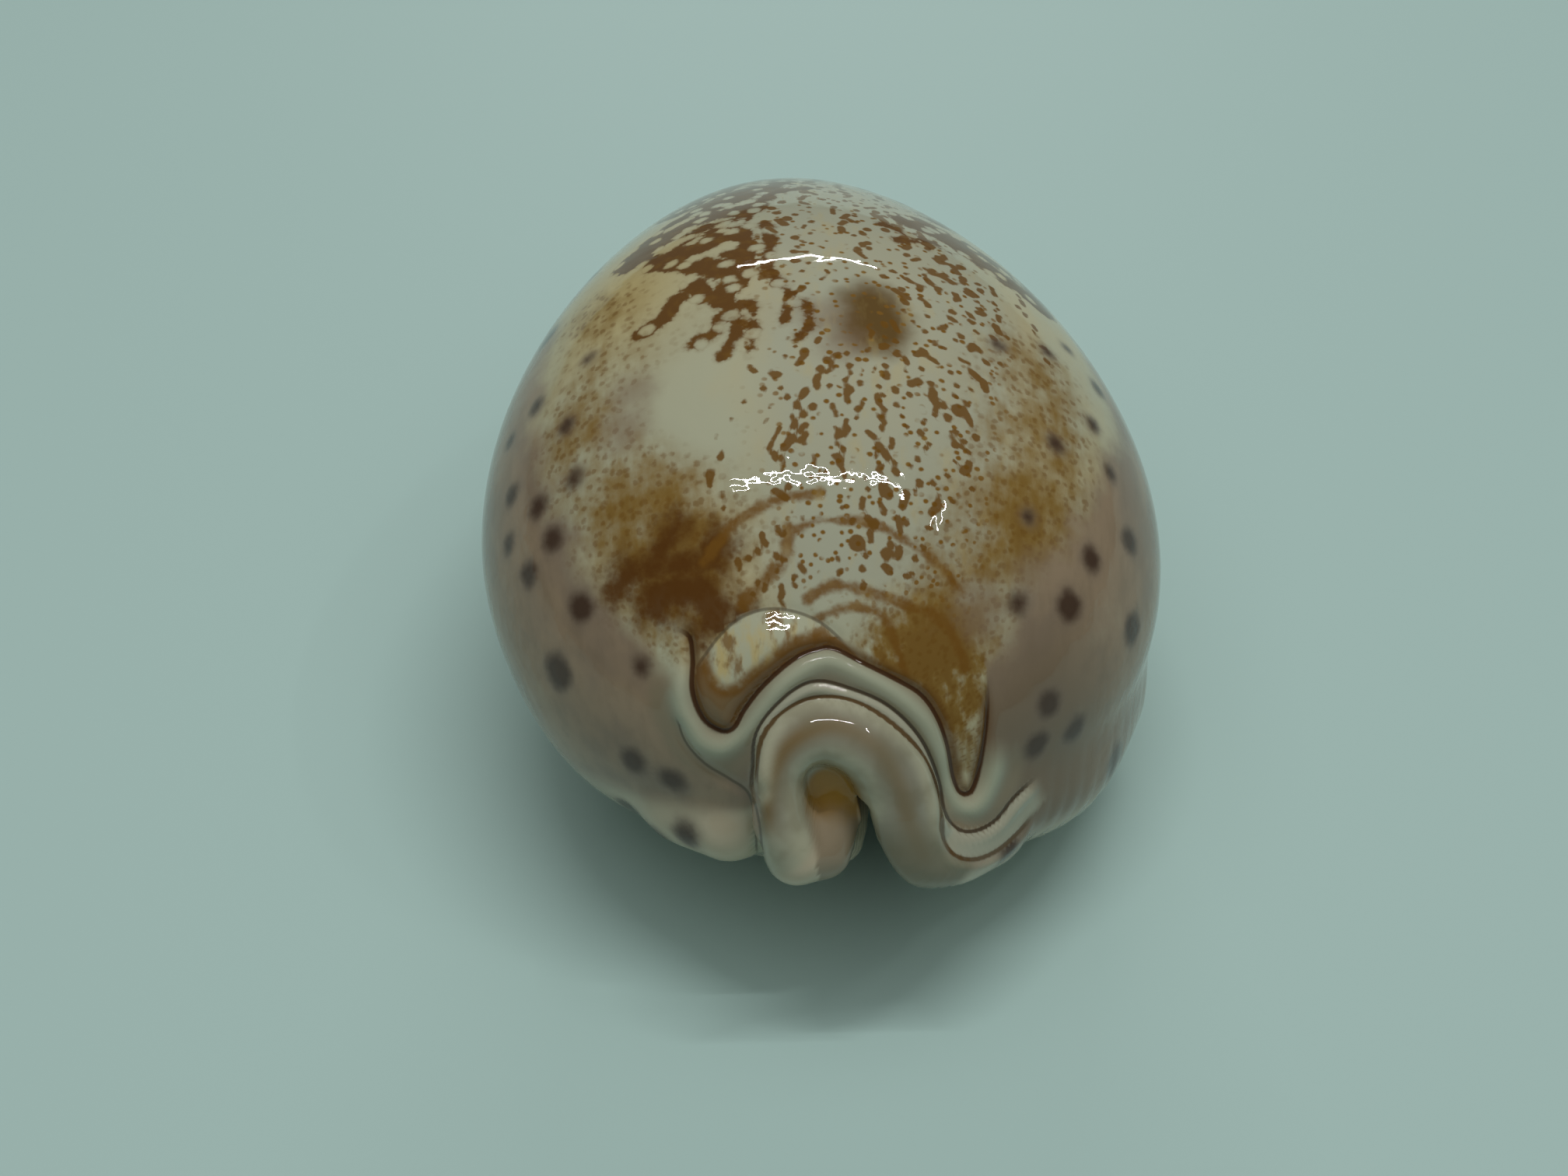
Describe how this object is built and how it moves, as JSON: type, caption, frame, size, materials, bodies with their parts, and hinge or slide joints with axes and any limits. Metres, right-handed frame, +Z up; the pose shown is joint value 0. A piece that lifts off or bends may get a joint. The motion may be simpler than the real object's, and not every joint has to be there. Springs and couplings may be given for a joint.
{
  "type": "cowrie shell",
  "caption": "Globose egg-shaped cowrie shell with a long toothed aperture along its base and a folded canal collar at each end.",
  "frame": {"origin": "centre of the bounding box's bottom face, on the plane the shell rests on", "axes": "+Z up, +Y along the shell to its front (anterior) end, +X to the outer (labral) lip"},
  "size_m": [0.0522, 0.0722, 0.0388],
  "materials": {
    "shell_enamel": "glossy cream and grey-beige enamel, freckled and blotched with rusty brown; amber and red-brown inside the aperture"
  },
  "bodies": {
    "root": {"shell": "shell_enamel"}
  },
  "joints": []
}
